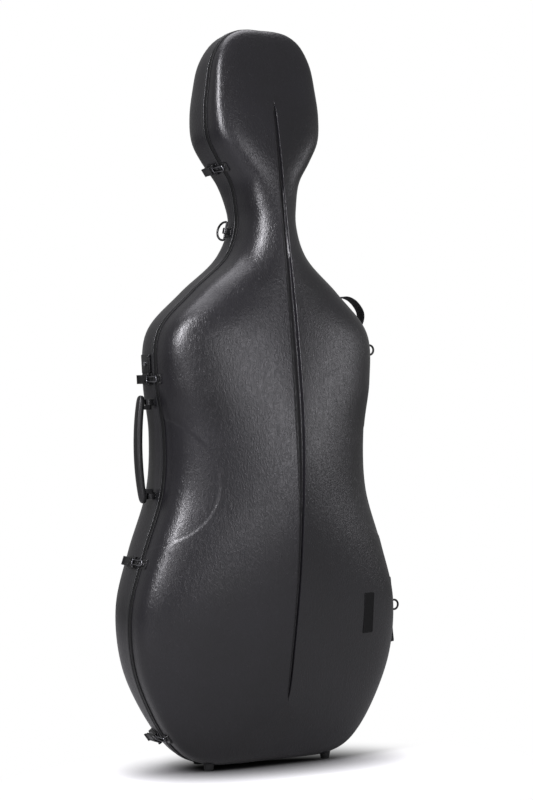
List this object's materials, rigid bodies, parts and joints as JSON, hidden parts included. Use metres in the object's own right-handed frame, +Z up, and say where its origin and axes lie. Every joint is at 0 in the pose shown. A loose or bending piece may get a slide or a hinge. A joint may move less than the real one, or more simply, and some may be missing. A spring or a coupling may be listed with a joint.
{
  "type": "cello hard case",
  "caption": "Moulded hard case for a cello: two rimmed shells that hinge open, with toggle latches, a carry handle, strap rings, feet and a padded inside.",
  "frame": {"origin": "bottom centre of the whole case with its fittings, under the feet", "axes": "+Z up along the case, -Y towards the lid's front, +X towards the hinged side"},
  "size_m": [0.585, 0.2894, 1.3349],
  "materials": {
    "shell": "matt, pebbled grain",
    "rim": "satin",
    "rubber": "matt",
    "black_metal": "satin black",
    "bright_metal": "polished",
    "plush": "short pile",
    "webbing": "woven",
    "plastic": "satin moulded"
  },
  "bodies": {
    "base": {"base_shell": "shell", "base_rim": "rim", "rim_seal": "rubber", "base_lining": "plush", "foot_base_left": "rubber", "foot_base_right": "rubber", "hinge_1_base_leaf": "black_metal", "hinge_1_pin": "bright_metal", "hinge_2_base_leaf": "black_metal", "hinge_2_pin": "bright_metal", "hinge_3_base_leaf": "black_metal", "hinge_3_pin": "bright_metal", "latch_bottom_plate": "black_metal", "latch_lower_plate": "black_metal", "latch_shoulder_plate": "black_metal", "latch_head_plate": "black_metal", "handle_bracket_upper": "black_metal", "handle_bracket_lower": "black_metal", "neck_ring_bracket": "black_metal", "upper_side_ring_bracket": "black_metal", "lower_side_ring_bracket": "black_metal", "grab_strap": "webbing", "grab_strap_plate": "black_metal", "neck_rest": "plush", "side_pad_left": "plush", "side_pad_right": "plush", "end_block": "plush", "pocket": "plush", "neck_strap": "webbing"},
    "lid": {"lid_shell": "shell", "badge_plate": "black_metal", "lid_rim": "rim", "lid_lining": "plush", "foot_lid_left": "rubber", "foot_lid_right": "rubber", "hinge_1_lid_leaf": "black_metal", "hinge_2_lid_leaf": "black_metal", "hinge_3_lid_leaf": "black_metal", "latch_bottom_keeper": "black_metal", "latch_lower_keeper": "black_metal", "latch_shoulder_keeper": "black_metal", "latch_head_keeper": "black_metal", "bow_rest_left": "plush", "bow_rest_right": "plush"},
    "latch_bottom_lever": {"latch_bottom_lever": "black_metal"},
    "latch_bottom_bail": {"latch_bottom_bail": "bright_metal"},
    "latch_lower_lever": {"latch_lower_lever": "black_metal"},
    "latch_lower_bail": {"latch_lower_bail": "bright_metal"},
    "latch_shoulder_lever": {"latch_shoulder_lever": "black_metal"},
    "latch_shoulder_bail": {"latch_shoulder_bail": "bright_metal"},
    "lock_barrel": {"lock_barrel": "bright_metal"},
    "latch_head_lever": {"latch_head_lever": "black_metal"},
    "latch_head_bail": {"latch_head_bail": "bright_metal"},
    "handle": {"handle_grip": "plastic"},
    "neck_ring": {"neck_ring": "black_metal"},
    "upper_side_ring": {"upper_side_ring": "black_metal"},
    "lower_side_ring": {"lower_side_ring": "black_metal"},
    "pocket_flap": {"pocket_flap": "plush"},
    "bow_button_left": {"bow_button_left": "plastic"},
    "bow_button_right": {"bow_button_right": "plastic"}
  },
  "joints": [
    {"name": "lid_swing", "type": "hinge", "parent": "base", "child": "lid", "pos_m": [0.24745, 0.00431, 0.30878], "axis": [-0.1098, 0, 0.994], "range_deg": [0, 100]},
    {"name": "latch_bottom_lever_swing", "type": "hinge", "parent": "base", "child": "latch_bottom_lever", "pos_m": [-0.22857, 0.02031, 0.05877], "axis": [-0.5931, 0, 0.8051], "range_deg": [0, 100]},
    {"name": "latch_bottom_bail_swing", "type": "hinge", "parent": "latch_bottom_lever", "child": "latch_bottom_bail", "pos_m": [-0.22776, 0.02831, 0.05936], "axis": [-0.5931, 0, 0.8051], "range_deg": [-115, 0]},
    {"name": "latch_lower_lever_swing", "type": "hinge", "parent": "base", "child": "latch_lower_lever", "pos_m": [-0.27361, 0.02031, 0.37561], "axis": [0.3182, 0, 0.948], "range_deg": [0, 100]},
    {"name": "latch_lower_bail_swing", "type": "hinge", "parent": "latch_lower_lever", "child": "latch_lower_bail", "pos_m": [-0.27266, 0.02831, 0.37529], "axis": [0.3182, 0, 0.948], "range_deg": [-115, 0]},
    {"name": "latch_shoulder_lever_swing", "type": "hinge", "parent": "base", "child": "latch_shoulder_lever", "pos_m": [-0.24277, 0.02031, 0.6993], "axis": [-0.058, 0, 0.9983], "range_deg": [0, 100]},
    {"name": "latch_shoulder_bail_swing", "type": "hinge", "parent": "latch_shoulder_lever", "child": "latch_shoulder_bail", "pos_m": [-0.24177, 0.02831, 0.69936], "axis": [-0.058, 0, 0.9983], "range_deg": [-115, 0]},
    {"name": "latch_head_lever_swing", "type": "hinge", "parent": "base", "child": "latch_head_lever", "pos_m": [-0.10544, 0.02031, 1.07841], "axis": [-0.5828, 0, 0.8126], "range_deg": [0, 100]},
    {"name": "latch_head_bail_swing", "type": "hinge", "parent": "latch_head_lever", "child": "latch_head_bail", "pos_m": [-0.10463, 0.02831, 1.079], "axis": [-0.5828, 0, 0.8126], "range_deg": [-115, 0]},
    {"name": "lock_turn", "type": "hinge", "parent": "base", "child": "lock_barrel", "pos_m": [-0.24236, 0.03281, 0.72687], "axis": [-0.9983, 0, -0.058], "range_deg": [0, 90]},
    {"name": "handle_swing", "type": "hinge", "parent": "base", "child": "handle", "pos_m": [-0.2382, 0.02831, 0.5748], "axis": [-0.0184, 0, 0.9998], "range_deg": [-60, 50]},
    {"name": "neck_ring_swing", "type": "hinge", "parent": "base", "child": "neck_ring", "pos_m": [-0.0825, 0.02231, 0.9691], "axis": [0.2001, 0, 0.9798], "range_deg": [-3, 137]},
    {"name": "upper_side_ring_swing", "type": "hinge", "parent": "base", "child": "upper_side_ring", "pos_m": [0.19976, 0.02231, 0.75326], "axis": [-0.0672, 0, 0.9977], "range_deg": [-80, 80]},
    {"name": "lower_side_ring_swing", "type": "hinge", "parent": "base", "child": "lower_side_ring", "pos_m": [0.25274, 0.02231, 0.26926], "axis": [-0.0261, 0, 0.9997], "range_deg": [-80, 80]},
    {"name": "bow_button_left_turn", "type": "hinge", "parent": "lid", "child": "bow_button_left", "pos_m": [-0.10786, -0.06369, 0.8083], "axis": [0, 1, 0], "range_deg": [0, 90]},
    {"name": "bow_button_right_turn", "type": "hinge", "parent": "lid", "child": "bow_button_right", "pos_m": [0.06017, -0.06369, 0.8083], "axis": [0, 1, 0], "range_deg": [-90, 0]},
    {"name": "pocket_flap_swing", "type": "hinge", "parent": "base", "child": "pocket_flap", "pos_m": [0.01016, 0.01741, 0.8701], "axis": [0, 0, -1], "range_deg": [0, 70]}
  ],
  "couplings": [
    {"joint": "latch_bottom_bail_swing", "follows": "latch_bottom_lever_swing", "ratio": -1.15},
    {"joint": "latch_lower_bail_swing", "follows": "latch_lower_lever_swing", "ratio": -1.15},
    {"joint": "latch_shoulder_bail_swing", "follows": "latch_shoulder_lever_swing", "ratio": -1.15},
    {"joint": "latch_head_bail_swing", "follows": "latch_head_lever_swing", "ratio": -1.15}
  ]
}
